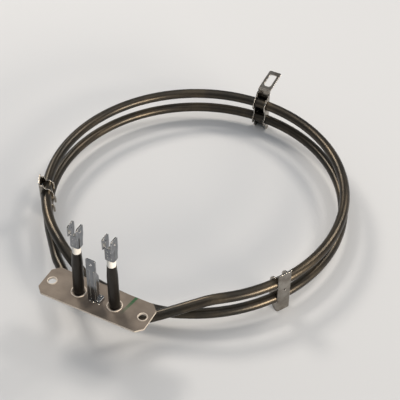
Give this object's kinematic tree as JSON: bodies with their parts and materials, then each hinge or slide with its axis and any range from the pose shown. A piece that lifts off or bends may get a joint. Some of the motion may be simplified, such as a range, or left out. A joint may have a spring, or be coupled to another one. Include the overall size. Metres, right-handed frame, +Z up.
{
  "type": "tubular heating element",
  "caption": "Ring-shaped sheathed heating element with stacked turns, a bolted flange carrying twin-blade terminals and an earth tab, and folded steel support clips.",
  "frame": {"origin": "middle of the bolt holes, on the flange's upper face, between the legs", "axes": "+X along the flange from hole to hole, +Z up along the legs towards the terminals, +Y from the flange towards the ring"},
  "size_m": [0.2, 0.2464, 0.0864],
  "materials": {
    "oxidised_sheath": "dark oxidised, satin",
    "magnesia": "compacted powder, matt",
    "resistance_wire": "drawn wire",
    "flange_steel": "heat-tinted mill finish",
    "tab_steel": "bright nickel-plated steel",
    "pin_steel": "drawn",
    "seal_white": "matt white",
    "clip_steel": "bright folded stainless sheet"
  },
  "bodies": {
    "root": {"sheath_tube": "oxidised_sheath", "magnesia_fill": "magnesia", "heating_coil": "resistance_wire", "flange_plate": "flange_steel", "earth_tab": "tab_steel", "left_cold_pin": "pin_steel", "right_cold_pin": "pin_steel", "left_end_seal": "seal_white", "right_end_seal": "seal_white", "left_terminal": "tab_steel", "right_terminal": "tab_steel", "left_clip": "clip_steel", "back_clip": "clip_steel", "right_clip": "clip_steel"}
  },
  "joints": []
}
